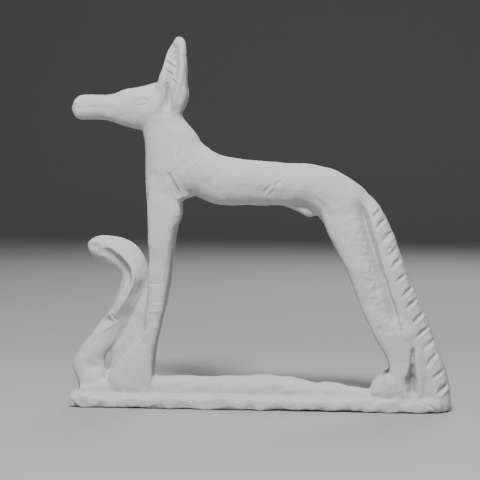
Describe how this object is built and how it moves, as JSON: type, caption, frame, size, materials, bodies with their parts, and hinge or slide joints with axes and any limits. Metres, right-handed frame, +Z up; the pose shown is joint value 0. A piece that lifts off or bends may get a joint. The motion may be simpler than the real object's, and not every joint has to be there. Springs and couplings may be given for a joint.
{
  "type": "jackal figurine",
  "caption": "Slender standing jackal on a narrow bar base, with upright ears, a long hanging tail and a rearing cobra at its forefeet, cast in one piece.",
  "frame": {"origin": "middle of the base's flat underside", "axes": "+Z up, -X the way the jackal faces, Y across the figure, which is symmetric about Y = 0"},
  "size_m": [0.0798, 0.01, 0.0774],
  "materials": {
    "jackal_figurine": "matte"
  },
  "bodies": {
    "root": {"jackal_figurine": "jackal_figurine"}
  },
  "joints": []
}
